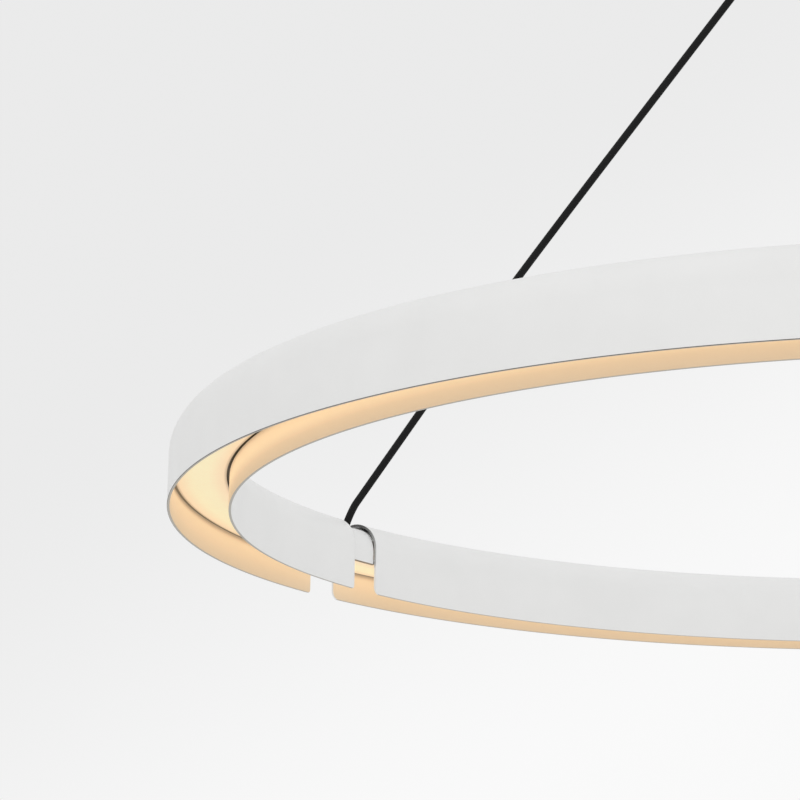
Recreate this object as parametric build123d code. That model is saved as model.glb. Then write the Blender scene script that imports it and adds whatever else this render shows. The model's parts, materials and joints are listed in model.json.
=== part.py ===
from build123d import *
import math
import os

# Ring pendant luminaire: a round light channel, open downwards, made of equal arc segments that meet at
# joint blocks, hung on one slanted cable per joint from a round ceiling canopy.
# Millimetres, +Z up. The origin is the centre of the canopy where it meets the ceiling.

# Ring channel
ring_outer_radius = 450.0
channel_width = 37.0
channel_height = 49.0
channel_wall = 1.5
web_depth = 13.0
web_thickness = 1.5
segment_count = 3
first_joint_azimuth = 155.0
joint_gap = 25.0
square_end_radius = 1.8
round_end_radius = 5.5

# Diffuser and the ledges that it snaps on
diffuser_recess = 20.5
diffuser_thickness = 1.6
diffuser_crown = 0.8
diffuser_side_gap = 1.5
ledge_width = 3.2
ledge_thickness = 1.2
snap_leg_thickness = 1.2
snap_lip = 0.9
snap_clearance = 0.3
diffuser_butt_gap = 0.4

# Joint blocks
block_clearance = 0.3
block_end_gap = 0.5
block_depth = 19.0
block_crown_drop = 1.7
block_skirt = 1.0
block_skirt_drop = 1.0
spigot_length = 30.0
joint_screw_diameter = 4.0
joint_screw_head_diameter = 7.0
joint_screw_head_height = 2.4
joint_screw_length = 7.0
screw_gap = 0.15

# Light boards
board_width = 18.0
board_thickness = 1.6
board_end_gap = 2.0
chips_per_segment = 40
chip_length = 3.5
chip_width = 2.8
chip_height = 0.7
lead_width = 4.0
lead_thickness = 1.2
lead_drop = 2.0
lead_bend_radius = 1.5
lead_reach = 4.0

# Suspension cables
cable_diameter = 5.0
cable_clearance = 0.4
gland_diameter = 11.0
gland_flange_diameter = 14.0
gland_flange_height = 2.5
gland_socket_depth = 5.0
cable_bend_share = 0.45
# The cable's way out of the ring, as (out from the channel's centreline, up from the channel's top)
cable_foot_run = [(0.0, -16.0), (0.0, -6.5), (-7.5, 8.5), (-116.5, 129.0)]
# Its way into the grip, as (out from the grip's axis, up from the canopy's underside)
cable_head_run = [(9.6, -50.2), (0.0, -27.1), (0.0, -7.0)]

# Ceiling canopy
suspension_height = 508.0
canopy_radius = 100.0
canopy_height = 50.0
canopy_wall = 1.5
canopy_edge = 4.0
layout_grip_azimuth = 150.0
sheet_cut = 20.0
plate_thickness = 2.0
plate_edge_gap = 0.5
ceiling_hole_circle = 160.0
ceiling_hole_diameter = 5.0
mains_hole_diameter = 14.0
mains_hole_offset = 34.0
grommet_wall = 1.5
grommet_lip = 2.0
grommet_gap = 0.1
lug_width = 14.0
lug_height = 14.0
lug_thickness = 2.0
lug_inset = 2.0
cover_screw_diameter = 4.0
cover_screw_head_diameter = 8.0
cover_screw_head_height = 2.2
cover_screw_height = 9.0

# Cable grips in the canopy
grip_circle_radius = 75.0
grip_thread_diameter = 10.0
grip_flange_diameter = 18.0
grip_flange_height = 2.0
grip_stub_length = 9.0
grip_top_length = 10.0
grip_core_bore = 3.4
grip_nut_flats = 16.0
grip_nut_floor = 3.0
grip_nut_bevel = 1.2
grip_insert_height = 3.0
grip_insert_taper = 0.7
grip_running_gap = 0.4
grip_socket_depth = 4.0
locknut_flats = 14.0
locknut_height = 4.0

# Driver, terminal block and earth screw in the canopy
driver_length = 112.0
driver_width = 42.0
driver_height = 26.0
driver_offset = -14.0
driver_foot = 9.0
driver_foot_thickness = 3.0
driver_corner_radius = 3.0
driver_edge = 1.0
driver_screw_diameter = 4.0
driver_screw_head_diameter = 7.0
driver_screw_head_height = 2.4
terminal_length = 34.0
terminal_width = 17.0
terminal_height = 15.0
terminal_offset = 58.0
terminal_poles = 3
terminal_screw_diameter = 4.0
terminal_wire_hole = 3.0
terminal_web = 0.5
terminal_screw_sink = 1.0
terminal_slot_width = 0.8
terminal_slot_depth = 1.0
earth_screw_diameter = 4.0
earth_screw_head = 8.0
earth_screw_head_height = 2.5
earth_screw_place = (-34.0, 40.0)

# Places that follow from the sizes
ring_bottom = -suspension_height
ring_centreline = ring_outer_radius - channel_width / 2
half_width = channel_width / 2
half_inside = half_width - channel_wall
spring_height = channel_height - half_width
web_height = channel_height - web_depth
chamber_floor = web_height + web_thickness
block_spring = spring_height - block_crown_drop
ledge_bottom = diffuser_recess + diffuser_thickness
ledge_top = ledge_bottom + ledge_thickness
ledge_edge = half_inside - ledge_width
segment_angle = 360.0 / segment_count
gap_angle = math.degrees(joint_gap / ring_centreline)
ring_top = ring_bottom + channel_height
cable_route = [(ring_centreline + out, ring_top + up) for out, up in cable_foot_run]
cable_route += [(grip_circle_radius + out, up - canopy_height) for out, up in cable_head_run]
cable_ring_radius = cable_route[0][0]
joint_azimuths = [first_joint_azimuth + segment_angle * k for k in range(segment_count)]
canopy_turn = first_joint_azimuth - layout_grip_azimuth
touch = 0.01


def arc_angle(length):
    """The angle that a length takes up along the channel's centreline."""
    return math.degrees(length / ring_centreline)


def place(node):
    """Turns a node of the master joint, built along +X, to each joint in turn."""
    return [Rot(0, 0, azimuth) * node for azimuth in joint_azimuths]


def section_at_ring(outline):
    """A face from an outline in (out from the channel's centreline, up from the ring's bottom)."""
    plane = Plane(origin=(ring_centreline, 0, ring_bottom), x_dir=(1, 0, 0), z_dir=(0, -1, 0))
    return plane * make_face(outline)


def arc_solid(outline, start, angle):
    """The outline swept around the ring's axis from a start azimuth."""
    return Rot(0, 0, start) * revolve(section_at_ring(outline), axis=Axis.Z, revolution_arc=angle)


def half_chord(radius, height):
    """Half the width of a circle at a height above its centre."""
    return math.sqrt(radius**2 - height**2)


def channel_outline():
    """Inverted U with a half-round top, a web across its inside and one snap ledge inside each wall."""
    w, inner = half_width, half_inside
    half_web = half_chord(inner, web_height - spring_height)
    right = [(half_web, web_height), (inner, spring_height), (inner, ledge_top), (ledge_edge, ledge_top)]
    right += [(ledge_edge, ledge_bottom), (inner, ledge_bottom), (inner, 0), (w, 0), (w, spring_height)]
    left = [(-x, z) for x, z in reversed(right)]
    outline = Polyline(*right)
    outline += ThreePointArc((w, spring_height), (0, channel_height), (-w, spring_height))
    return outline + Polyline(*left, right[0])


def chamber_outline():
    """The closed chamber between the web and the half-round top."""
    half = half_chord(half_inside, chamber_floor - spring_height)
    outline = ThreePointArc((half, chamber_floor), (0, channel_height - channel_wall), (-half, chamber_floor))
    return outline + Line((-half, chamber_floor), (half, chamber_floor))


def wall_foot_edges(segment, azimuth):
    """The short bottom edges of both walls on the end face at an azimuth."""
    direction = Vector(1, 0, 0).rotate(Axis.Z, azimuth)
    normal = Vector(0, 1, 0).rotate(Axis.Z, azimuth)
    found = []
    for edge in segment.edges():
        middle = edge @ 0.5
        on_end = abs(middle.dot(normal)) < touch and middle.dot(direction) > 0
        low = abs(middle.Z - ring_bottom) < touch
        if on_end and low:
            found.append(edge)
    return found


def profile_segment(joint_azimuth):
    """One channel segment, from one joint's gap to the next, with its two different end corners."""
    start = joint_azimuth + gap_angle / 2
    angle = segment_angle - gap_angle
    segment = arc_solid(channel_outline(), start, angle) - arc_solid(chamber_outline(), start, angle)
    segment = fillet(wall_foot_edges(segment, start), square_end_radius)
    segment = fillet(wall_foot_edges(segment, start + angle), round_end_radius)
    for end, side in ((joint_azimuth, 1), (joint_azimuth + segment_angle, -1)):
        azimuth = end + side * screw_angle()
        segment -= Rot(0, 0, azimuth) * screw_hole(2 * web_thickness)
    return segment


def screw_angle():
    """From a joint's middle to the screw through the channel's web, halfway along the tongue."""
    return gap_angle / 2 + arc_angle(spigot_length / 2)


def screw_hole(length):
    """Cutter for a joint screw's hole, centred on the web's underside."""
    radius = joint_screw_diameter / 2 + screw_gap
    return Pos(ring_centreline, 0, ring_bottom + web_height) * Cylinder(radius, length)


def joint_screws():
    """Two screws at each joint, up through the web into a tongue on each side."""
    screw = pan_screw(
        joint_screw_diameter,
        joint_screw_length,
        joint_screw_head_diameter,
        joint_screw_head_height,
    )
    screw = Pos(ring_centreline, 0, ring_bottom + web_height) * Rot(180, 0, 0) * screw
    screws = []
    for azimuth in joint_azimuths:
        for side in (-1, 1):
            screws.append(Rot(0, 0, azimuth + side * screw_angle()) * screw)
    return screws


def diffuser_outline():
    """Crowned opal strip with two snap legs that hook over the ledges."""
    edge = half_inside - diffuser_side_gap
    leg_out = ledge_edge - snap_clearance
    leg_in = leg_out - snap_leg_thickness
    lip_bottom = ledge_top + snap_clearance
    lip_top = lip_bottom + snap_lip
    low, top = diffuser_recess, ledge_bottom
    right = [(edge, low), (edge, top), (leg_out, top), (leg_out, lip_bottom)]
    right += [(leg_out + snap_lip, lip_bottom), (leg_out, lip_top), (leg_in, lip_top), (leg_in, top)]
    left = [(-x, z) for x, z in reversed(right)]
    outline = Polyline(*right, *left)
    outline += ThreePointArc((-edge, low), (0, low - diffuser_crown), (edge, low))
    return outline


def diffuser(joint_azimuth):
    """One diffuser length, centred on a joint, so that its butt joints lie in the middle of the segments."""
    angle = segment_angle - arc_angle(diffuser_butt_gap)
    return arc_solid(diffuser_outline(), joint_azimuth - angle / 2, angle)


def block_outline():
    """The joint block in the gap: a solid arch with a thin skirt down past the diffuser on each side."""
    w = half_inside - block_clearance
    low = diffuser_recess - block_skirt_drop
    under = channel_height - block_depth
    inner = w - block_skirt
    feet = [(-w, block_spring), (-w, low), (-inner, low), (-inner, under)]
    feet += [(inner, under), (inner, low), (w, low), (w, block_spring)]
    return ThreePointArc((w, block_spring), (0, block_spring + w), (-w, block_spring)) + Polyline(*feet)


def spigot_outline():
    """The tongue that goes into a segment's chamber, seated on its web."""
    radius = half_inside - 2 * block_clearance
    half = half_chord(radius, chamber_floor - block_spring)
    outline = ThreePointArc((half, chamber_floor), (0, block_spring + radius), (-half, chamber_floor))
    return outline + Line((-half, chamber_floor), (half, chamber_floor))


def joint_block():
    """Block that bridges a gap, with a tongue for each segment, the cable's well and the lead's way."""
    middle_angle = gap_angle - 2 * arc_angle(block_end_gap)
    tongue_angle = gap_angle + 2 * arc_angle(spigot_length)
    block = arc_solid(block_outline(), -middle_angle / 2, middle_angle)
    block += arc_solid(spigot_outline(), -tongue_angle / 2, tongue_angle)
    block -= gland_well()
    for side in (-1, 1):
        block -= Rot(0, 0, side * screw_angle()) * screw_hole(2 * (joint_screw_length + block_clearance))
    return block


def gland_seat():
    """Height of the shoulder on which the gland's flange sits."""
    return cable_route[0][1] + gland_socket_depth - gland_flange_height


def block_under():
    """Height of the underside of the block's solid part."""
    return ring_top - block_depth


def turned(points):
    """A turned piece from its half outline in (distance from its own axis, height)."""
    return revolve(Plane.XZ * make_face(Polyline(*points, close=True)), axis=Axis.Z)


def gland_well():
    """Stepped well for the gland, wide enough above it to let the cable lean."""
    barrel = gland_diameter / 2 + block_clearance
    seat = gland_flange_diameter / 2 + block_clearance
    low = block_under() - block_clearance
    points = [(0, low), (barrel, low), (barrel, gland_seat()), (seat, gland_seat())]
    points += [(seat, ring_top), (0, ring_top)]
    return Pos(cable_ring_radius, 0, 0) * turned(points)


def cable_gland():
    """Flanged gland in the block's well, with the socket that holds the cable's end."""
    seat = gland_seat()
    rim = seat + gland_flange_height
    floor = cable_route[0][1]
    barrel = gland_diameter / 2
    flange = gland_flange_diameter / 2
    socket = (cable_diameter + cable_clearance) / 2
    points = [(0, block_under()), (barrel, block_under()), (barrel, seat), (flange, seat), (flange, rim)]
    points += [(socket, rim), (socket, floor), (0, floor)]
    return Pos(cable_ring_radius, 0, 0) * turned(points)


def tube(points, radii, diameter):
    """Round tube along straight runs joined by tangent arcs."""
    path = FilletPolyline(*points, radius=radii)
    profile = Plane(origin=path @ 0, z_dir=path % 0) * Circle(diameter / 2)
    return sweep(profile, path=path), path.length


def light_lead():
    """Flat lead from the gland's underside, under the block's tongue and up to the end of the light board."""
    x = cable_ring_radius
    start = block_under()
    low = start - lead_drop
    along = joint_gap / 2 + spigot_length + board_end_gap + lead_reach
    board_under = ring_bottom + web_height - board_thickness
    points = [(x, 0, start), (x, 0, low), (x, along, low), (x, along, board_under)]
    path = FilletPolyline(*points, radius=lead_bend_radius)
    profile = Plane(origin=path @ 0, x_dir=(1, 0, 0), z_dir=path % 0) * Rectangle(lead_width, lead_thickness)
    return sweep(profile, path=path)


def light_board(joint_azimuth):
    """Metal-backed light board under the channel's web, between two joint blocks."""
    w, top = board_width / 2, web_height
    low = top - board_thickness
    margin = gap_angle / 2 + arc_angle(spigot_length + board_end_gap)
    outline = Polyline((w, low), (w, top), (-w, top), (-w, low), (w, low))
    return arc_solid(outline, joint_azimuth + margin, segment_angle - 2 * margin)


def light_chips(joint_azimuth):
    """Row of light chips under the board, evenly spaced along the segment."""
    margin = gap_angle / 2 + arc_angle(spigot_length + board_end_gap + 2 * lead_reach)
    pitch = (segment_angle - 2 * margin) / (chips_per_segment - 1)
    height = ring_bottom + web_height - board_thickness - chip_height / 2
    chip = Pos(ring_centreline, 0, height) * Box(chip_width, chip_length, chip_height)
    return [Rot(0, 0, joint_azimuth + margin + pitch * k) * chip for k in range(chips_per_segment)]


def suspension_cable():
    """Cable from the gland up and in to the canopy's grip, bowed a little by its own stiffness."""
    points = [(out, 0, height) for out, height in cable_route]
    radii = []
    for before, corner, after in zip(points, points[1:], points[2:]):
        run_in = Vector(corner) - Vector(before)
        run_out = Vector(after) - Vector(corner)
        half_turn = math.radians(run_in.get_angle(run_out) / 2)
        shorter = min(run_in.length, run_out.length)
        radii.append(cable_bend_share * shorter / math.tan(half_turn))
    solid, length = tube(points, radii, cable_diameter)
    section = math.pi * cable_diameter**2 / 4
    print("cable radii", [round(r, 1) for r in radii], "length", round(length, 1))
    print("cable volume", round(solid.volume, 1), "section times length", round(section * length, 1))
    return solid


def canopy_frame(node):
    """Turns a canopy piece so that its grips stand over the ring's joints."""
    return Rot(0, 0, canopy_turn) * node


def canopy_cover():
    """Shallow cup with a bevelled lower edge, a hole for each grip and one for each side screw."""
    outer, wall, low = canopy_radius, canopy_wall, -canopy_height
    edge = canopy_edge
    points = [(0, low), (outer - edge, low), (outer, low + edge), (outer, 0), (outer - wall, 0)]
    points += [(outer - wall, low + edge), (outer - edge, low + wall), (0, low + wall)]
    cover = turned(points)
    for azimuth in joint_azimuths:
        spot = Rot(0, 0, azimuth) * Pos(grip_circle_radius, 0, low)
        cover -= spot * Cylinder(grip_thread_diameter / 2 + block_clearance, sheet_cut)
    for spot in cover_screw_spots():
        cover -= spot * Cylinder(cover_screw_diameter / 2 + block_clearance, sheet_cut)
    return cover


def lug_azimuths():
    """Directions of the lugs and ceiling screws, halfway between the grips."""
    return [azimuth + segment_angle / 2 for azimuth in joint_azimuths]


def cover_screw_spots():
    """Places on the canopy's side, looking outwards, where the cover's screws go in."""
    spots = []
    for azimuth in lug_azimuths():
        spots.append(Rot(0, 0, azimuth) * Pos(canopy_radius, 0, -cover_screw_height) * Rot(0, 90, 0))
    return spots


def pan_screw(diameter, length, head_diameter, head_height):
    """Pan-head screw: the head stands up from the origin, the shank goes down."""
    shank, head = diameter / 2, head_diameter / 2
    edge = head_height / 2
    points = [(0, -length), (shank, -length), (shank, 0), (head, 0), (head, edge)]
    points += [(head - edge, head_height), (0, head_height)]
    return turned(points)


def lug_depth():
    """Distance from the canopy's side to the inner face of a lug."""
    return canopy_wall + plate_edge_gap + lug_inset + lug_thickness


def cover_screws():
    """One screw through the cover's side into each lug."""
    screw = pan_screw(
        cover_screw_diameter,
        lug_depth(),
        cover_screw_head_diameter,
        cover_screw_head_height,
    )
    return [spot * screw for spot in cover_screw_spots()]


def driver_foot_spots():
    """Centres of the driver's two feet, where its screws go up into the plate."""
    reach = driver_length / 2 + driver_foot / 2
    return [(-reach, driver_offset), (reach, driver_offset)]


def ceiling_plate():
    """Round ceiling plate with bent lugs, ceiling screw holes and the mains entry."""
    radius = canopy_radius - canopy_wall - plate_edge_gap
    plate = Pos(0, 0, -plate_thickness / 2) * Cylinder(radius, plate_thickness)
    lug_middle = radius - lug_inset - lug_thickness / 2
    for azimuth in lug_azimuths():
        lug = Pos(lug_middle, 0, -lug_height / 2) * Box(lug_thickness, lug_width, lug_height)
        hole = Pos(lug_middle, 0, -cover_screw_height) * Rot(0, 90, 0)
        lug -= hole * Cylinder(cover_screw_diameter / 2 + screw_gap, sheet_cut)
        ceiling_hole = Pos(ceiling_hole_circle / 2, 0, 0) * Cylinder(ceiling_hole_diameter / 2, sheet_cut)
        plate += Rot(0, 0, azimuth) * lug
        plate -= Rot(0, 0, azimuth) * ceiling_hole
    plate -= canopy_frame(Pos(0, mains_hole_offset, 0) * Cylinder(mains_hole_diameter / 2, sheet_cut))
    for x, y in driver_foot_spots():
        hole = Cylinder(driver_screw_diameter / 2 + screw_gap, sheet_cut)
        plate -= canopy_frame(Pos(x, y, 0) * hole)
    hole = Cylinder(earth_screw_diameter / 2 + screw_gap, sheet_cut)
    return plate - canopy_frame(Pos(*earth_screw_place, 0) * hole)


def mains_grommet():
    """Rubber grommet in the plate's mains entry, with its lip under the plate."""
    barrel = mains_hole_diameter / 2 - grommet_gap
    bore = barrel - grommet_wall
    lip = mains_hole_diameter / 2 + grommet_lip
    low = -plate_thickness - grommet_lip
    points = [(bore, 0), (barrel, 0), (barrel, -plate_thickness), (lip, -plate_thickness)]
    points += [(lip, low), (bore, low)]
    return canopy_frame(Pos(0, mains_hole_offset, 0) * turned(points))


def led_driver():
    """Driver case with rounded edges and a screw foot at each end."""
    middle = -plate_thickness - driver_height / 2
    case = Box(driver_length, driver_width, driver_height)
    case = fillet(case.edges().filter_by(Axis.Z), driver_corner_radius)
    case = chamfer(case.faces().sort_by(Axis.Z)[0].edges(), driver_edge)
    case = Pos(0, driver_offset, middle) * case
    foot_middle = -plate_thickness - driver_foot_thickness / 2
    for x, y in driver_foot_spots():
        foot = Pos(x, y, foot_middle) * Box(driver_foot, driver_width / 2, driver_foot_thickness)
        foot -= Pos(x, y, foot_middle) * Cylinder(driver_screw_diameter / 2 + screw_gap, sheet_cut)
        case += foot
    return canopy_frame(case)


def driver_screws():
    """Screws through the driver's feet into the plate, heads downwards."""
    length = driver_foot_thickness + plate_thickness / 2
    screw = pan_screw(driver_screw_diameter, length, driver_screw_head_diameter, driver_screw_head_height)
    under = -plate_thickness - driver_foot_thickness
    return [canopy_frame(Pos(x, y, under) * Rot(180, 0, 0) * screw) for x, y in driver_foot_spots()]


def terminal_pole_places():
    """Places of the terminal block's poles along its length."""
    pitch = terminal_length / terminal_poles
    return [pitch * (k - (terminal_poles - 1) / 2) for k in range(terminal_poles)]


def terminal_well_depth():
    """Depth of a pole's screw well, up to the plastic left under its wire hole."""
    return terminal_height / 2 - terminal_wire_hole / 2 - terminal_web


def terminal_block():
    """Terminal block under the plate, with a wire hole and a screw well for each pole."""
    middle = -plate_thickness - terminal_height / 2
    low = -plate_thickness - terminal_height
    block = Pos(0, terminal_offset, middle) * Box(terminal_length, terminal_width, terminal_height)
    well = terminal_screw_diameter / 2 + screw_gap
    for x in terminal_pole_places():
        wire_hole = Rot(90, 0, 0) * Cylinder(terminal_wire_hole / 2, 2 * terminal_width)
        block -= Pos(x, terminal_offset, middle) * wire_hole
        block -= Pos(x, terminal_offset, low) * Cylinder(well, 2 * terminal_well_depth())
    return canopy_frame(block)


def terminal_screws():
    """Slotted clamp screws in the terminal block's wells."""
    top = -plate_thickness - terminal_height + terminal_well_depth()
    length = terminal_well_depth() - terminal_screw_sink
    screw = Cylinder(terminal_screw_diameter / 2, length, align=(Align.CENTER, Align.CENTER, Align.MAX))
    slot = Box(terminal_screw_diameter, terminal_slot_width, 2 * terminal_slot_depth)
    screw -= Pos(0, 0, -length) * slot
    return [canopy_frame(Pos(x, terminal_offset, top) * screw) for x in terminal_pole_places()]


def earth_screw():
    """Earth screw through the plate, head downwards."""
    screw = pan_screw(earth_screw_diameter, plate_thickness, earth_screw_head, earth_screw_head_height)
    x, y = earth_screw_place
    return canopy_frame(Pos(x, y, -plate_thickness) * Rot(180, 0, 0) * screw)


def grip_heights():
    """Heights of the grip's faces, from the flange's underside down to the nut's underside."""
    flange = -canopy_height - grip_flange_height
    stub = flange - grip_stub_length
    insert = stub - grip_insert_height
    nut = insert - grip_running_gap - grip_nut_floor
    return flange, stub, insert, nut


def grip_body():
    """Threaded grip body through the cover, with the socket in which the cable ends."""
    flange, stub, _, _ = grip_heights()
    thread = grip_thread_diameter / 2
    rim = grip_flange_diameter / 2
    socket = (cable_diameter + cable_clearance) / 2
    floor = stub + grip_socket_depth
    core = grip_core_bore / 2
    top = -canopy_height + grip_top_length
    points = [(core, top), (thread, top), (thread, -canopy_height), (rim, -canopy_height), (rim, flange)]
    points += [(thread, flange), (thread, stub), (socket, stub), (socket, floor), (core, floor)]
    return Pos(grip_circle_radius, 0, 0) * turned(points)


def grip_insert():
    """Rubber sleeve that the clamping nut presses round the cable."""
    _, stub, insert, _ = grip_heights()
    outer = grip_thread_diameter / 2
    bore = (cable_diameter + cable_clearance) / 2
    points = [(bore, insert), (outer - grip_insert_taper, insert), (outer, stub), (bore, stub)]
    return Pos(grip_circle_radius, 0, 0) * turned(points)


def hexagon(flats):
    """Hexagon with a size across its flats."""
    return RegularPolygon(flats / 2, 6, major_radius=False)


def grip_nut():
    """Hexagon clamping nut on the grip's stub, turned to free the cable."""
    flange, _, insert, low = grip_heights()
    outer = grip_nut_flats / math.sqrt(3)
    cavity = grip_thread_diameter / 2 + grip_running_gap
    hole = cable_diameter / 2 + grip_running_gap
    top = flange - grip_running_gap
    floor = insert - grip_running_gap
    bevel = grip_nut_bevel
    points = [(hole, low), (outer - bevel, low), (outer, low + bevel), (outer, top), (cavity, top)]
    points += [(cavity, floor), (hole, floor)]
    prism = Pos(0, 0, low) * extrude(hexagon(grip_nut_flats), top - low)
    return Pos(grip_circle_radius, 0, 0) * (turned(points) & prism)


def grip_locknut():
    """Hexagon nut inside the cover that holds the grip body."""
    nut = extrude(hexagon(locknut_flats), locknut_height)
    nut -= Cylinder(grip_thread_diameter / 2 + screw_gap, sheet_cut)
    return Pos(grip_circle_radius, 0, canopy_wall - canopy_height) * nut


def write(name, shape):
    """Writes one node, a single solid or a group of equal solids."""
    if isinstance(shape, list):
        shape = Compound(children=shape)
    export_step(shape, os.path.join("parts", name + ".step"))


os.makedirs("parts", exist_ok=True)

per_joint = {
    "joint_block": joint_block(),
    "cable_gland": cable_gland(),
    "light_lead": light_lead(),
    "suspension_cable": suspension_cable(),
    "grip_body": grip_body(),
    "grip_insert": grip_insert(),
    "grip_nut": grip_nut(),
    "grip_locknut": grip_locknut(),
}
for name, master in per_joint.items():
    for number, node in enumerate(place(master), start=1):
        write(f"{name}_{number}", node)

for number, azimuth in enumerate(joint_azimuths, start=1):
    write(f"profile_segment_{number}", profile_segment(azimuth))
    write(f"diffuser_{number}", diffuser(azimuth))
    write(f"light_board_{number}", light_board(azimuth))
    write(f"light_chips_{number}", light_chips(azimuth))

write("joint_screws", joint_screws())
write("ceiling_plate", ceiling_plate())
write("canopy_cover", canopy_cover())
write("cover_screws", cover_screws())
write("mains_grommet", mains_grommet())
write("led_driver", led_driver())
write("driver_screws", driver_screws())
write("terminal_block", terminal_block())
write("terminal_screws", terminal_screws())
write("earth_screw", earth_screw())
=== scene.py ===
import json
import math

import bmesh
import bpy
from mathutils import Matrix, Vector

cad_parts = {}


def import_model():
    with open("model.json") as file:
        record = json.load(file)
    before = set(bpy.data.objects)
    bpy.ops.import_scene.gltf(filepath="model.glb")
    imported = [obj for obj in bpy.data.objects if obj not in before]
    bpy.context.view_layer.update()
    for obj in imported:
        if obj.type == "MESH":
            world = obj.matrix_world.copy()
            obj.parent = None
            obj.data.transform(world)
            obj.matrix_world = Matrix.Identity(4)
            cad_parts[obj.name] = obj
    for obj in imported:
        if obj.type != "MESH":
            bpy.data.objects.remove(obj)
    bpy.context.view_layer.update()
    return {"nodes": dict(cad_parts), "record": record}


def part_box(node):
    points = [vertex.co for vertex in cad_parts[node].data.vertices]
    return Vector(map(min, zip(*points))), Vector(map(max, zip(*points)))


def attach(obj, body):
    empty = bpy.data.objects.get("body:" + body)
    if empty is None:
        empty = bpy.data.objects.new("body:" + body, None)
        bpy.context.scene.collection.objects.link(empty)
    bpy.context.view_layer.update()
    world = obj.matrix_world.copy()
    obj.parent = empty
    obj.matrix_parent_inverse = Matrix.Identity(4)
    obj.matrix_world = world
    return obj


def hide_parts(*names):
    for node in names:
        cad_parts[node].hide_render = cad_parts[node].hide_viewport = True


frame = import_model()
nodes = frame["nodes"]

# Sizes and places, in metres; angles in degrees are turned into radians where they are used
JOINTS = (1, 2, 3)
BODY = "luminaire"
FIRST_JOINT = 155.0
JOINT_STEP = 120.0
RING_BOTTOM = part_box("profile_segment_1")[0].z
RING_CENTRE = (0.0, 0.0, RING_BOTTOM)
RING_OUTER = 0.450
CHANNEL_WIDTH = 0.037
CHANNEL_HEIGHT = 0.049
CHANNEL_WALL = 0.0015
WEB_DEPTH = 0.013
WEB_THICKNESS = 0.0015
EDGE_RADIUS = 0.00025
JOINT_GAP = 0.025
SQUARE_END_RADIUS = 0.0018
ROUND_END_RADIUS = 0.0055
DIFFUSER_RECESS = 0.0205
DIFFUSER_THICKNESS = 0.0016
DIFFUSER_CROWN = 0.0008
DIFFUSER_SIDE_GAP = 0.0015
LEDGE_WIDTH = 0.0032
LEDGE_THICKNESS = 0.0012
RING_CENTRELINE = RING_OUTER - CHANNEL_WIDTH / 2
HALF_WIDTH = CHANNEL_WIDTH / 2
HALF_INSIDE = HALF_WIDTH - CHANNEL_WALL
SPRING_HEIGHT = CHANNEL_HEIGHT - HALF_WIDTH
WEB_HEIGHT = CHANNEL_HEIGHT - WEB_DEPTH
DIFFUSER_HALF = HALF_INSIDE - DIFFUSER_SIDE_GAP
LEDGE_BOTTOM = DIFFUSER_RECESS + DIFFUSER_THICKNESS

# The cable's route in its upright plane, as (distance from the ring's axis, height)
CABLE_DIAMETER = 0.005
CABLE_ROUTE = [
    (0.4315, -0.4750),
    (0.4315, -0.4655),
    (0.4240, -0.4505),
    (0.4180, -0.4439),
    (0.3150, -0.3300),
    (0.1022, -0.1177),
    (0.0846, -0.1002),
    (0.0750, -0.0771),
    (0.0750, -0.0570),
]

# How finely the shapes are drawn: degrees between sections, steps to an arc, and the sections at a
# segment's ends as shares of the end corner's radius
STATION_STEP = 1.0
ARC_STEPS = 24
EDGE_STEPS = 3
SHARP_ANGLE = math.radians(35.0)
SQUARE_END_SHARES = (0.0, 0.04, 0.12, 0.25, 0.45, 0.7, 1.0)
ROUND_END_SHARES = (1.0, 0.75, 0.52, 0.34, 0.2, 0.1, 0.04, 0.01, 0.0)
CABLE_ROUND_STEPS = 6
CABLE_LONG_STEPS = 16
CABLE_ORDER = 3

# The photograph's camera: below the ring and in front of it, looking up
FRAME_PIXELS = 800
SENSOR_MM = 36.0
FOCAL_PIXELS = 3022.9
CAMERA_PLACE = Vector((0.0, -1.7650, RING_BOTTOM - 0.3491))
CAMERA_YAW = -0.1799
CAMERA_PITCH = 0.2383
CAMERA_ROLL = -0.0175

# Light, backdrop and floor; the backdrop's start and end are in the photograph's pixels
WORLD_LIGHT = 0.96
WORLD_COLOUR = (1.0, 1.0, 1.0, 1.0)
KEY_PLACE = (1.3, -3.8, 0.0)
KEY_SIZE = 2.5
KEY_POWER = 15.0
KEY_COLOUR = (1.0, 0.995, 0.985)
BACKGROUND_DARK = (0.829, 0.829, 0.829, 1.0)
BACKGROUND_PALE = (0.952, 0.952, 0.952, 1.0)
BACKGROUND_START = 340
BACKGROUND_END = 920
BACKGROUND_ACROSS = 0.5
BACKGROUND_DOWN = 0.8
FLOOR_HEIGHT = -6.2
FLOOR_SIZE = 120.0
FLOOR_COLOUR = (0.88, 0.88, 0.875, 1.0)
FLOOR_SHOWN_NEAR = (0.69, 0.69, 0.69, 1.0)
FLOOR_SHOWN_FAR = (0.86, 0.86, 0.86, 1.0)
FLOOR_FADE_START = 30.0
FLOOR_FADE_END = 58.0

# Grain of the surfaces
NOISE_LOW = 0.3
NOISE_HIGH = 0.7
FINE_DETAIL = 3.0
BROAD_DETAIL = 2.0
FINE_TO_BROAD = 25.0
ROUGHNESS_SWING = 0.06
RELIEF_STRENGTH = 0.35
EVEN = (1.0, 1.0, 1.0)

# Sockets of a colour mix
MIX_FACTOR = 0
MIX_FIRST = 6
MIX_SECOND = 7
MIX_RESULT = 2


# Shader helpers
def empty_material(name):
    """A new material with only a principled shader and its output."""
    material = bpy.data.materials.new(name)
    material.use_nodes = True
    tree = material.node_tree
    tree.nodes.clear()
    shader = tree.nodes.new("ShaderNodeBsdfPrincipled")
    output = tree.nodes.new("ShaderNodeOutputMaterial")
    tree.links.new(shader.outputs["BSDF"], output.inputs["Surface"])
    return material, tree, shader


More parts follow.
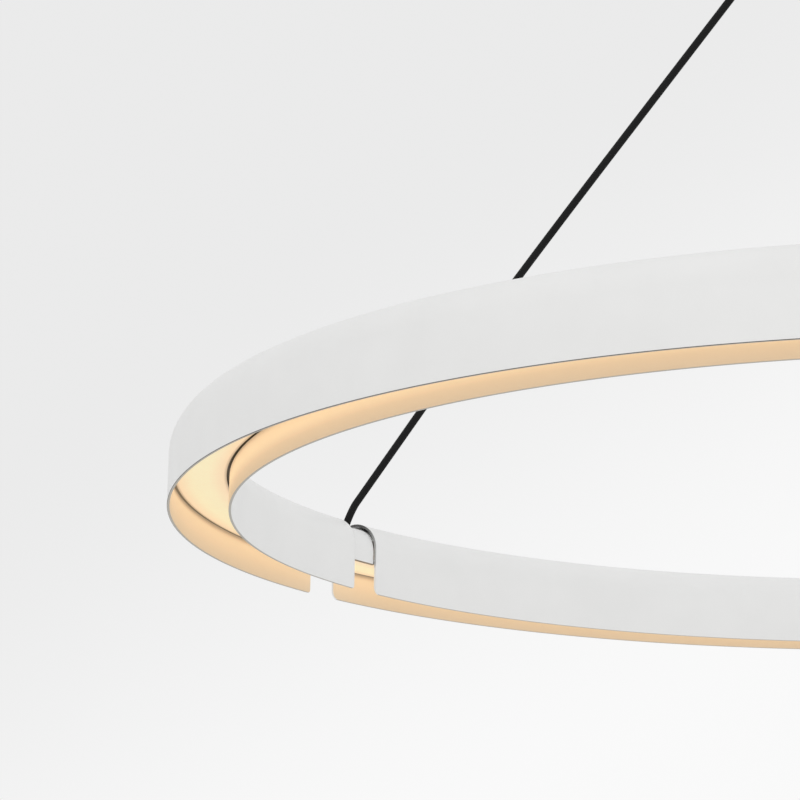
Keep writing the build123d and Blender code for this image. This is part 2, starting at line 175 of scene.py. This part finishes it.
def feed(tree, value, socket):
    """Links a socket, or sets a plain value."""
    if isinstance(value, bpy.types.NodeSocket):
        tree.links.new(value, socket)
    else:
        socket.default_value = value


def sum_up(tree, operation, first, second=0.0, third=0.0):
    """One step of arithmetic."""
    node = tree.nodes.new("ShaderNodeMath")
    node.operation = operation
    for socket, value in zip(node.inputs, (first, second, third)):
        feed(tree, value, socket)
    return node.outputs["Value"]


def both(tree, first, second):
    """Where two masks meet."""
    return sum_up(tree, "MULTIPLY", first, second)


def object_place(tree, stretch=EVEN):
    """The point's own place on the object, stretched for a directional grain."""
    place = tree.nodes.new("ShaderNodeTexCoord")
    mapping = tree.nodes.new("ShaderNodeMapping")
    mapping.inputs["Scale"].default_value = stretch
    tree.links.new(place.outputs["Object"], mapping.inputs["Vector"])
    return mapping.outputs["Vector"]


def noise(tree, vector, scale, detail):
    """Noise with a number of features to the metre."""
    node = tree.nodes.new("ShaderNodeTexNoise")
    node.inputs["Scale"].default_value = scale
    node.inputs["Detail"].default_value = detail
    tree.links.new(vector, node.inputs["Vector"])
    return node.outputs["Fac"]


def spread(tree, value, low, high, from_low=NOISE_LOW, from_high=NOISE_HIGH, smooth=False):
    """A value moved from one range to another, and held at its ends."""
    node = tree.nodes.new("ShaderNodeMapRange")
    node.interpolation_type = "SMOOTHSTEP" if smooth else "LINEAR"
    node.inputs["From Min"].default_value = from_low
    node.inputs["From Max"].default_value = from_high
    node.inputs["To Min"].default_value = low
    node.inputs["To Max"].default_value = high
    tree.links.new(value, node.inputs["Value"])
    return node.outputs["Result"]


def rising(tree, value, start, end, smooth=False):
    """A mask that is zero up to a start and one from an end."""
    return spread(tree, value, 0.0, 1.0, start, end, smooth)


def falling(tree, value, start, end):
    """A mask that is one up to a start and zero from an end."""
    return spread(tree, value, 1.0, 0.0, start, end)


def between(tree, factor, first, second):
    """A colour between two others."""
    node = tree.nodes.new("ShaderNodeMix")
    node.data_type = "RGBA"
    feed(tree, factor, node.inputs[MIX_FACTOR])
    feed(tree, first, node.inputs[MIX_FIRST])
    feed(tree, second, node.inputs[MIX_SECOND])
    return node.outputs[MIX_RESULT]


def shaded(colour, share):
    """A colour made lighter or darker by a share."""
    return tuple(min(1.0, c * share) for c in colour[:3]) + (1.0,)


def base_coat(shader):
    """The colour that a surface has so far."""
    return shader.inputs["Base Color"].links[0].from_socket


def relief(tree, shader, height, depth):
    """Fine relief from a height value."""
    bump = tree.nodes.new("ShaderNodeBump")
    bump.inputs["Strength"].default_value = RELIEF_STRENGTH
    bump.inputs["Distance"].default_value = depth
    tree.links.new(height, bump.inputs["Height"])
    tree.links.new(bump.outputs["Normal"], shader.inputs["Normal"])


def channel_place(tree):
    """Distance out from the centreline, height above the ring's bottom and distance from a joint."""
    place = tree.nodes.new("ShaderNodeTexCoord")
    parts = tree.nodes.new("ShaderNodeSeparateXYZ")
    tree.links.new(place.outputs["Object"], parts.inputs["Vector"])
    x, y = parts.outputs["X"], parts.outputs["Y"]
    square = sum_up(tree, "MULTIPLY_ADD", y, y, sum_up(tree, "MULTIPLY", x, x))
    out = sum_up(tree, "SUBTRACT", sum_up(tree, "SQRT", square), RING_CENTRELINE)
    height = sum_up(tree, "SUBTRACT", parts.outputs["Z"], RING_BOTTOM)
    turn = sum_up(tree, "SUBTRACT", sum_up(tree, "ARCTAN2", y, x), math.radians(FIRST_JOINT))
    step = math.radians(JOINT_STEP)
    off_joint = sum_up(tree, "ABSOLUTE", sum_up(tree, "WRAP", turn, step / 2, -step / 2))
    return out, height, sum_up(tree, "MULTIPLY", off_joint, RING_CENTRELINE)


# Colours of the painted ring: white, and painted light and shade, that is the diffuser's warm light and glow
# on the walls and shade in the slots, on the cut ends, feet, outer edge and the block's rim
BLACK = (0.0, 0.0, 0.0, 1.0)
WHITE = (0.80, 0.80, 0.795, 1.0)
# Painted light: the diffuser's warm light on the white inside walls, as base colour and as glow
WARM_LIGHT_ON_WALL = (0.80, 0.66, 0.50, 1.0)
WARM_GLOW_LOW = (0.034, 0.025, 0.016, 1.0)
WARM_GLOW_HIGH = (0.35, 0.238, 0.137, 1.0)
INNER_GLOW_HIGH = (0.34, 0.238, 0.138, 1.0)
# Painted shade in the slots beside the diffuser, and a painted glow that lightens it
SLOT_SHADE = (0.06, 0.045, 0.025, 1.0)
INNER_SLOT_GLOW = (0.022, 0.015, 0.006, 1.0)
OUTER_SLOT_GLOW = (0.19, 0.135, 0.08, 1.0)
# Painted shade on the segments' cut ends, darkest at the top of the arch
CUT_END_SHADE = (0.50, 0.50, 0.49, 1.0)
CUT_END_TOP_SHADE = (0.10, 0.10, 0.098, 1.0)
# Painted shade on the walls' downward-facing feet, and a dark painted shade line along the outer bottom edge
OUTER_FOOT_SHADE = (0.47, 0.44, 0.39, 1.0)
OUTER_EDGE_SHADE = (0.04, 0.037, 0.033, 1.0)
INNER_FOOT_SHADE = (0.46, 0.44, 0.40, 1.0)
# Painted shade along the joint block's lower rim
BLOCK_RIM_SHADE = (0.26, 0.20, 0.13, 1.0)

# Colours of the other surfaces
OPAL_SKIN = (0.30, 0.28, 0.23, 1.0)
OPAL_CENTRE = (0.63, 0.545, 0.315, 1.0)
OPAL_EDGE = (0.63, 0.44, 0.268, 1.0)
BOARD_WHITE = (0.82, 0.82, 0.80, 1.0)
PHOSPHOR = (0.85, 0.62, 0.12, 1.0)
LEAD_WHITE = (0.74, 0.74, 0.72, 1.0)
PLASTIC_BLACK = (0.022, 0.022, 0.022, 1.0)
SHEATH_BLACK = (0.0060, 0.0060, 0.0062, 1.0)
RUBBER_BLACK = (0.03, 0.03, 0.03, 1.0)
BRASS = (0.70, 0.53, 0.26, 1.0)
ZINC = (0.60, 0.61, 0.63, 1.0)
CASE_WHITE = (0.78, 0.78, 0.76, 1.0)
IVORY = (0.70, 0.70, 0.66, 1.0)

# Sheen and grain directions
PAINT_SPECULAR = 0.35
SHEATH_SPECULAR = 0.2
METAL_LINES = 0.3
UPRIGHT_LINES = (1.0, 1.0, 12.0)
CROSSWISE_LINES = (1.0, 14.0, 1.0)

# Where the channel's looks start and end: distances out from the centreline, heights above the ring's
# bottom and distances from a joint
SIDES = (-0.001, 0.001)
INSIDE = (HALF_INSIDE + 0.0001, HALF_INSIDE + 0.0003)
OUTERMOST = (HALF_WIDTH - EDGE_RADIUS, HALF_WIDTH - EDGE_RADIUS + 0.0001)
FOOT = (0.0001, 0.0003)
RIM = (EDGE_RADIUS, EDGE_RADIUS + 0.0001)
LIT_HEIGHT = (0.0, DIFFUSER_RECESS)
LIT_TOP = (DIFFUSER_RECESS - 0.0002, DIFFUSER_RECESS + 0.0004)
WALL_SHADE = (DIFFUSER_RECESS - 0.0038, DIFFUSER_RECESS)
SLOT_BOTTOM = (DIFFUSER_RECESS, DIFFUSER_RECESS + 0.0003)
SLOT_TOP = (WEB_HEIGHT - 0.0003, WEB_HEIGHT + 0.0003)
CUT_DEPTH = (JOINT_GAP / 2 + 0.00005, JOINT_GAP / 2 + 0.00015)
CUT_BOTTOM = (DIFFUSER_RECESS - 0.003, DIFFUSER_RECESS)
CUT_ARCH = (SPRING_HEIGHT, CHANNEL_HEIGHT - CHANNEL_WALL)
BLOCK_FOOT = (DIFFUSER_RECESS - 0.0005, DIFFUSER_RECESS)

# How deep the walls are shaded next to the slots, and where the inner one is brightest, as shares
INNER_WALL_SHADE = 0.15
OUTER_WALL_SHADE = 0.40
INNER_BRIGHT = (0.3, 0.7)

# The same for the diffuser strip, with the share of its glow that is left at its edges
STRIP_ACROSS = (0.2 * DIFFUSER_HALF, DIFFUSER_HALF)
STRIP_SHADE = (DIFFUSER_HALF - 0.0024, DIFFUSER_HALF)
STRIP_SIDE = (DIFFUSER_HALF - 0.0003, DIFFUSER_HALF - 0.0001)
STRIP_TOP = (LEDGE_BOTTOM - 0.0004, LEDGE_BOTTOM - 0.0002)
STRIP_EDGE_SHARE = 0.55
MOTTLE_SCALE = 60.0
MOTTLE_LOW = 0.985
MOTTLE_HIGH = 1.015


# Materials
def grained(name, colour, roughness, grain, depth, vary=0.04, metallic=0.0, stretch=EVEN):
    """A surface with a fine grain in its colour, roughness and relief."""
    material, tree, shader = empty_material(name)
    vector = object_place(tree, stretch)
    fine = noise(tree, vector, grain, FINE_DETAIL)
    broad = noise(tree, vector, grain / FINE_TO_BROAD, BROAD_DETAIL)
    factor = spread(tree, broad, 0.0, 1.0)
    coat = between(tree, factor, shaded(colour, 1 - vary), shaded(colour, 1 + vary))
    tree.links.new(coat, shader.inputs["Base Color"])
    rough = spread(tree, fine, roughness - ROUGHNESS_SWING, roughness + ROUGHNESS_SWING)
    tree.links.new(rough, shader.inputs["Roughness"])
    shader.inputs["Metallic"].default_value = metallic
    relief(tree, shader, fine, depth)
    return material, tree, shader


def plain(name, colour, roughness, grain, depth, vary=0.04):
    """A grained surface with nothing more on it."""
    return grained(name, colour, roughness, grain, depth, vary)[0]


def painted_white(name):
    """Matte white powder coat with a faint orange peel."""
    material, tree, shader = grained(name, WHITE, roughness=0.52, grain=700.0, depth=0.00004, vary=0.012)
    shader.inputs["Specular IOR Level"].default_value = PAINT_SPECULAR
    return material, tree, shader


def painted_channel(name):
    """The same coat, with the diffuser's warm light painted inside the open channel as colour and glow, and
    painted shade on the feet, outer edge, cut ends and diffuser slots.
    """
    material, tree, shader = painted_white(name)
    out, height, off_joint = channel_place(tree)

    # The masks of where painted light and shade go: sides, lit walls, walls shaded next to the slots, slots,
    # feet, outer edge and cut ends
    outer = rising(tree, out, *SIDES)
    inside = falling(tree, sum_up(tree, "ABSOLUTE", out), *INSIDE)
    lit = both(tree, inside, falling(tree, height, *LIT_TOP))
    depth = spread(tree, out, INNER_WALL_SHADE, OUTER_WALL_SHADE, *SIDES)
    shade = both(tree, rising(tree, height, *WALL_SHADE, smooth=True), depth)
    beside = both(tree, rising(tree, height, *SLOT_BOTTOM), falling(tree, height, *SLOT_TOP))
    slot = both(tree, inside, beside)
    foot = falling(tree, height, *FOOT)
    edge = both(tree, falling(tree, height, *RIM), rising(tree, out, *OUTERMOST))
    cut = both(tree, falling(tree, off_joint, *CUT_DEPTH), rising(tree, height, *CUT_BOTTOM))
    arch = rising(tree, height, *CUT_ARCH)

    # The paint: painted warm light on the lit walls, and painted shade next to and in the slots, on the cut
    # ends, the feet and the outer edge
    coat = base_coat(shader)
    coat = between(tree, lit, coat, between(tree, shade, WARM_LIGHT_ON_WALL, SLOT_SHADE))
    coat = between(tree, slot, coat, SLOT_SHADE)
    coat = between(tree, cut, coat, between(tree, arch, CUT_END_SHADE, CUT_END_TOP_SHADE))
    coat = between(tree, foot, coat, between(tree, outer, INNER_FOOT_SHADE, OUTER_FOOT_SHADE))
    coat = between(tree, edge, coat, OUTER_EDGE_SHADE)
    tree.links.new(coat, shader.inputs["Base Color"])

    # The diffuser's light on the walls, painted as the walls' own glow and dimmed by painted shade next to
    # the slots, with a painted glow in the slots and none on the feet and cut ends
    nearness = rising(tree, height, *LIT_HEIGHT)
    bright = rising(tree, nearness, *INNER_BRIGHT, smooth=True)
    glow = between(tree, nearness, WARM_GLOW_LOW, WARM_GLOW_HIGH)
    glow = between(tree, bright, glow, between(tree, outer, INNER_GLOW_HIGH, glow))
    glow = between(tree, lit, BLACK, between(tree, shade, glow, BLACK))
    glow = between(tree, slot, glow, between(tree, outer, INNER_SLOT_GLOW, OUTER_SLOT_GLOW))
    glow = between(tree, sum_up(tree, "MAXIMUM", foot, cut), glow, BLACK)
    tree.links.new(glow, shader.inputs["Emission Color"])
    shader.inputs["Emission Strength"].default_value = 1.0
    return material


def painted_block(name):
    """The same coat on a joint block, shaded along the rim that hangs beside the lit diffuser."""
    material, tree, shader = painted_white(name)
    _, height, _ = channel_place(tree)
    rim = falling(tree, height, *BLOCK_FOOT)
    tree.links.new(between(tree, rim, base_coat(shader), BLOCK_RIM_SHADE), shader.inputs["Base Color"])
    return material


def opal(name):
    """Lit opal plastic: a warm glow, paler along the middle, with a satin skin; painted shade dims the glow
    towards the edges and darkens the side and top faces.
    """
    material, tree, shader = grained(name, OPAL_SKIN, roughness=0.45, grain=900.0, depth=0.00003, vary=0.01)
    out, height, _ = channel_place(tree)
    out = sum_up(tree, "ABSOLUTE", out)
    across = rising(tree, out, *STRIP_ACROSS, smooth=True)
    mottle = noise(tree, object_place(tree), MOTTLE_SCALE, BROAD_DETAIL)
    mottle = spread(tree, mottle, MOTTLE_LOW, MOTTLE_HIGH)
    # Painted shade: the glow dims towards the strip's edges, and its side and top faces take the slot's dark
    # colour
    shade = spread(tree, out, 1.0, STRIP_EDGE_SHARE, *STRIP_SHADE, smooth=True)
    face = both(tree, falling(tree, out, *STRIP_SIDE), falling(tree, height, *STRIP_TOP))
    face = both(tree, shade, face)
    tree.links.new(between(tree, across, OPAL_CENTRE, OPAL_EDGE), shader.inputs["Emission Color"])
    tree.links.new(both(tree, mottle, face), shader.inputs["Emission Strength"])
    tree.links.new(between(tree, face, SLOT_SHADE, base_coat(shader)), shader.inputs["Base Color"])
    return material


def black_sheath(name):
    """Matte black cable sheath with a soft sheen and a fine grain."""
    material, _, shader = grained(name, SHEATH_BLACK, roughness=0.58, grain=1500.0, depth=0.00003, vary=0.12)
    shader.inputs["Specular IOR Level"].default_value = SHEATH_SPECULAR
    return material


def brushed(name, colour, roughness, stretch):
    """Metal with fine lines along one direction."""
    material, _, shader = grained(
        name,
        colour,
        roughness,
        grain=500.0,
        depth=0.00002,
        vary=0.05,
        metallic=1.0,
        stretch=stretch,
    )
    shader.inputs["Anisotropic"].default_value = METAL_LINES
    return material


MATERIALS = {
    "painted_profile": painted_channel("white_channel"),
    "painted_block": painted_block("white_block"),
    "painted_cover": painted_white("white_cover")[0],
    "opal_diffuser": opal("opal_diffuser"),
    "board_metal": plain("board_white", BOARD_WHITE, roughness=0.4, grain=400.0, depth=0.00002),
    "light_chip": plain("chip_phosphor", PHOSPHOR, roughness=0.35, grain=2000.0, depth=0.00001),
    "lead_insulation": plain("lead_white", LEAD_WHITE, roughness=0.45, grain=1200.0, depth=0.00002),
    "black_plastic": plain(
        "black_plastic",
        PLASTIC_BLACK,
        roughness=0.5,
        grain=2500.0,
        depth=0.00004,
        vary=0.1,
    ),
    "cable_sheath": black_sheath("black_sheath"),
    "grip_rubber": plain("black_rubber", RUBBER_BLACK, roughness=0.7, grain=1800.0, depth=0.00005, vary=0.1),
    "brass": brushed("turned_brass", BRASS, roughness=0.3, stretch=UPRIGHT_LINES),
    "zinc_steel": brushed("zinc_steel", ZINC, roughness=0.34, stretch=CROSSWISE_LINES),
    "driver_case": plain("driver_case", CASE_WHITE, roughness=0.5, grain=1500.0, depth=0.00005),
    "terminal_plastic": plain("terminal_plastic", IVORY, roughness=0.45, grain=1500.0, depth=0.00003),
}


def wear(piece, slot_name):
    """Gives a piece its slot's material."""
    piece.data.materials.clear()
    piece.data.materials.append(MATERIALS[slot_name])


SLOTS = {entry["node"]: entry["material_slot"] for entry in frame["record"]["subparts"]}
for name, node in nodes.items():
    wear(node, SLOTS[name])


# Meshes swept round the ring
def arc_points(centre, radius, start, end, steps=ARC_STEPS):
    """Points on an arc of a section's outline, both ends included."""
    points = []
    for k in range(steps + 1):
        turn = math.radians(start + (end - start) * k / steps)
        points.append((centre[0] + radius * math.cos(turn), centre[1] + radius * math.sin(turn)))
    return points


def half_chord(radius, height):
    """Half the width of a circle at a height above its centre."""
    return math.sqrt(radius**2 - height**2)


def channel_section(foot):
    """The channel's outline, (out from the centreline, up from the bottom edge), with its feet raised."""
    w, i, e = HALF_WIDTH, HALF_INSIDE, EDGE_RADIUS
    ledge = i - LEDGE_WIDTH
    ledge_top = LEDGE_BOTTOM + LEDGE_THICKNESS
    right = arc_points((i + e, foot + e), e, 180, 270, EDGE_STEPS)
    right += arc_points((w - e, foot + e), e, 270, 360, EDGE_STEPS)
    inside = [(i, LEDGE_BOTTOM), (ledge, LEDGE_BOTTOM), (ledge, ledge_top), (i, ledge_top)]
    inside += [(i, SPRING_HEIGHT), (half_chord(i, WEB_HEIGHT - SPRING_HEIGHT), WEB_HEIGHT)]
    top = arc_points((0.0, SPRING_HEIGHT), w, 0, 180)
    left = [(-x, z) for x, z in reversed(right)]
    inside_left = [(-x, z) for x, z in inside]
    return right + top + left + inside_left + list(reversed(inside))


def chamber_section():
    """The closed chamber between the web and the half-round top."""
    web_top = WEB_HEIGHT + WEB_THICKNESS
    start = math.degrees(math.asin((web_top - SPRING_HEIGHT) / HALF_INSIDE))
    return arc_points((0.0, SPRING_HEIGHT), HALF_INSIDE, start, 180 - start)


def foot_lift(distance, radius):
    """How far a wall's rounded end corner lifts its foot, at a distance from the end."""
    if distance >= radius:
        return 0.0
    return radius - half_chord(radius, radius - distance)


def diffuser_section():
    """The crowned strip's outline."""
    low = []
    for k in range(ARC_STEPS + 1):
        across = 2 * k / ARC_STEPS - 1
        low.append((across * DIFFUSER_HALF, DIFFUSER_RECESS - DIFFUSER_CROWN * (1 - across**2)))
    return low + [(DIFFUSER_HALF, LEDGE_BOTTOM), (-DIFFUSER_HALF, LEDGE_BOTTOM)]


def swept_piece(name, stations, slot_name, replaced):
    """A mesh through sections of one or more loops at azimuths, in radians, closed at both ends."""
    mesh_data = bpy.data.meshes.new(name)
    mesh = bmesh.new()
    rows = []
    for azimuth, section in stations:
        row = []
        for outline in section:
            loop = []
            for out, up in outline:
                radius = RING_CENTRELINE + out
                place = (radius * math.cos(azimuth), radius * math.sin(azimuth), RING_BOTTOM + up)
                loop.append(mesh.verts.new(place))
            row.append(loop)
        rows.append(row)
    for first_row, second_row in zip(rows, rows[1:]):
        for first, second in zip(first_row, second_row):
            for k, vertex in enumerate(first):
                mesh.faces.new((first[k - 1], vertex, second[k], second[k - 1]))
    for row in (rows[0], rows[-1]):
        edges = [mesh.edges.get((loop[k - 1], loop[k])) for loop in row for k in range(len(loop))]
        bmesh.ops.triangle_fill(mesh, use_beauty=True, edges=edges)
    bmesh.ops.recalc_face_normals(mesh, faces=mesh.faces)
    mesh.to_mesh(mesh_data)
    mesh.free()
    mesh_data.shade_smooth()
    mesh_data.set_sharp_from_angle(angle=SHARP_ANGLE)
    piece = bpy.data.objects.new(name, mesh_data)
    bpy.context.scene.collection.objects.link(piece)
    wear(piece, slot_name)
    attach(piece, BODY)
    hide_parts(replaced)


def along(length):
    """The angle, in radians, that a length takes up on the centreline."""
    return length / RING_CENTRELINE


def channel_stations(start, end):
    """Sections of one segment, close together where its end corners are rounded."""
    stations = []
    for share in SQUARE_END_SHARES:
        distance = share * SQUARE_END_RADIUS
        stations.append((start + along(distance), foot_lift(distance, SQUARE_END_RADIUS)))
    first, last = start + along(SQUARE_END_RADIUS), end - along(ROUND_END_RADIUS)
    count = round(math.degrees(last - first) / STATION_STEP)
    for k in range(1, count):
        stations.append((first + (last - first) * k / count, 0.0))
    for share in ROUND_END_SHARES:
        distance = share * ROUND_END_RADIUS
        stations.append((end - along(distance), foot_lift(distance, ROUND_END_RADIUS)))
    return [(azimuth, [channel_section(lift), chamber_section()]) for azimuth, lift in stations]


def diffuser_stations(start, end):
    """Sections of one diffuser length, butted on the next."""
    count = round(math.degrees(end - start) / STATION_STEP)
    return [(start + (end - start) * k / count, [diffuser_section()]) for k in range(count + 1)]


def joint_azimuth(number):
    """Where a joint lies on the ring, in radians."""
    return math.radians(FIRST_JOINT + JOINT_STEP * (number - 1))


third = math.radians(JOINT_STEP)
half_gap = along(JOINT_GAP / 2)
for number in JOINTS:
    joint = joint_azimuth(number)
    segment = channel_stations(joint + half_gap, joint + third - half_gap)
    swept_piece(f"white_segment_{number}", segment, "painted_profile", f"profile_segment_{number}")
    strip = diffuser_stations(joint - third / 2, joint + third / 2)
    swept_piece(f"opal_strip_{number}", strip, "opal_diffuser", f"diffuser_{number}")


# Cables
def suspension_cable(number):
    """One taut cable along its route."""
    azimuth = joint_azimuth(number)
    curve = bpy.data.curves.new(f"cable_{number}", "CURVE")
    curve.dimensions = "3D"
    curve.bevel_depth = CABLE_DIAMETER / 2
    curve.bevel_resolution = CABLE_ROUND_STEPS
    curve.resolution_u = CABLE_LONG_STEPS
    curve.use_fill_caps = True
    spline = curve.splines.new("NURBS")
    spline.points.add(len(CABLE_ROUTE) - 1)
    for point, (out, height) in zip(spline.points, CABLE_ROUTE):
        point.co = (out * math.cos(azimuth), out * math.sin(azimuth), height, 1.0)
    spline.order_u = CABLE_ORDER
    spline.use_endpoint_u = True
    piece = bpy.data.objects.new(f"cable_{number}", curve)
    bpy.context.scene.collection.objects.link(piece)
    wear(piece, "cable_sheath")
    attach(piece, BODY)
    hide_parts(f"suspension_cable_{number}")
    out, height = CABLE_ROUTE[0]


for number in JOINTS:
    suspension_cable(number)


# Camera
def camera_axes():
    """Right, up and forward of the camera, from its yaw, pitch and roll."""
    right = Vector((math.cos(CAMERA_YAW), -math.sin(CAMERA_YAW), 0.0))
    ahead = Vector((math.sin(CAMERA_YAW), math.cos(CAMERA_YAW), 0.0))
    up = Vector((0.0, 0.0, 1.0))
    forward = math.cos(CAMERA_PITCH) * ahead + math.sin(CAMERA_PITCH) * up
    lift = -math.sin(CAMERA_PITCH) * ahead + math.cos(CAMERA_PITCH) * up
    c, s = math.cos(CAMERA_ROLL), math.sin(CAMERA_ROLL)
    return c * right - s * lift, s * right + c * lift, forward


right, upward, forward = camera_axes()
camera_data = bpy.data.cameras.new("photo_camera")
camera_data.sensor_width = SENSOR_MM
camera_data.lens = FOCAL_PIXELS * SENSOR_MM / FRAME_PIXELS
camera = bpy.data.objects.new("photo_camera", camera_data)
turned = Matrix((right, upward, -forward)).transposed().to_4x4()
camera.matrix_world = Matrix.Translation(CAMERA_PLACE) @ turned
bpy.context.scene.collection.objects.link(camera)
bpy.context.scene.camera = camera


# Floor, light and background
def seen_ray(tree):
    """One for a ray that shows the floor or backdrop, straight or in metal, and zero for light."""
    path = tree.nodes.new("ShaderNodeLightPath")
    seen = sum_up(tree, "MAXIMUM", path.outputs["Is Camera Ray"], path.outputs["Is Glossy Ray"])
    return sum_up(tree, "MAXIMUM", seen, path.outputs["Is Transmission Ray"])


def floor():
    """Plain pale floor far below the lamp, shown a little darker than the white ring."""
    mesh_data = bpy.data.meshes.new("floor")
    half = FLOOR_SIZE / 2
    corners = [(x, y, FLOOR_HEIGHT) for x, y in ((-half, -half), (half, -half), (half, half), (-half, half))]
    mesh_data.from_pydata(corners, [], [(0, 1, 2, 3)])
    piece = bpy.data.objects.new("floor", mesh_data)
    bpy.context.scene.collection.objects.link(piece)
    material, tree, shader = grained(
        "pale_floor",
        FLOOR_COLOUR,
        roughness=0.8,
        grain=20.0,
        depth=0.0005,
        vary=0.01,
    )
    distance = tree.nodes.new("ShaderNodeVectorMath")
    distance.operation = "LENGTH"
    tree.links.new(object_place(tree), distance.inputs[0])
    far = rising(tree, distance.outputs["Value"], FLOOR_FADE_START, FLOOR_FADE_END, smooth=True)
    shown = between(tree, far, FLOOR_SHOWN_NEAR, FLOOR_SHOWN_FAR)
    coat = between(tree, seen_ray(tree), base_coat(shader), shown)
    tree.links.new(coat, shader.inputs["Base Color"])
    mesh_data.materials.append(material)


def key_light():
    """A soft square lamp that looks at the ring's centre."""
    data = bpy.data.lights.new("key", "AREA")
    data.size = KEY_SIZE
    data.energy = KEY_POWER
    data.color = KEY_COLOUR
    lamp = bpy.data.objects.new("key", data)
    lamp.location = KEY_PLACE
    lamp.rotation_euler = (Vector(RING_CENTRE) - Vector(KEY_PLACE)).to_track_quat("-Z", "Y").to_euler()
    bpy.context.scene.collection.objects.link(lamp)


def world():
    """Even studio light, and a pale backdrop that brightens towards the lower right of the photograph."""
    sky = bpy.data.worlds.new("studio")
    bpy.context.scene.world = sky
    sky.use_nodes = True
    tree = sky.node_tree
    tree.nodes.clear()
    place = tree.nodes.new("ShaderNodeTexCoord")
    along_photo = tree.nodes.new("ShaderNodeVectorMath")
    along_photo.operation = "DOT_PRODUCT"
    along_photo.inputs[1].default_value = BACKGROUND_ACROSS * right - BACKGROUND_DOWN * upward
    tree.links.new(place.outputs["Generated"], along_photo.inputs[0])
    middle = (BACKGROUND_ACROSS + BACKGROUND_DOWN) * FRAME_PIXELS / 2
    start = (BACKGROUND_START - middle) / FOCAL_PIXELS
    end = (BACKGROUND_END - middle) / FOCAL_PIXELS
    factor = rising(tree, along_photo.outputs["Value"], start, end, smooth=True)
    shown = tree.nodes.new("ShaderNodeBackground")
    tree.links.new(between(tree, factor, BACKGROUND_DARK, BACKGROUND_PALE), shown.inputs["Color"])
    light = tree.nodes.new("ShaderNodeBackground")
    light.inputs["Color"].default_value = WORLD_COLOUR
    light.inputs["Strength"].default_value = WORLD_LIGHT
    mix = tree.nodes.new("ShaderNodeMixShader")
    tree.links.new(seen_ray(tree), mix.inputs[0])
    tree.links.new(light.outputs["Background"], mix.inputs[1])
    tree.links.new(shown.outputs["Background"], mix.inputs[2])
    output = tree.nodes.new("ShaderNodeOutputWorld")
    tree.links.new(mix.outputs["Shader"], output.inputs["Surface"])


floor()
world()
key_light()
bpy.context.scene.view_settings.view_transform = "Standard"
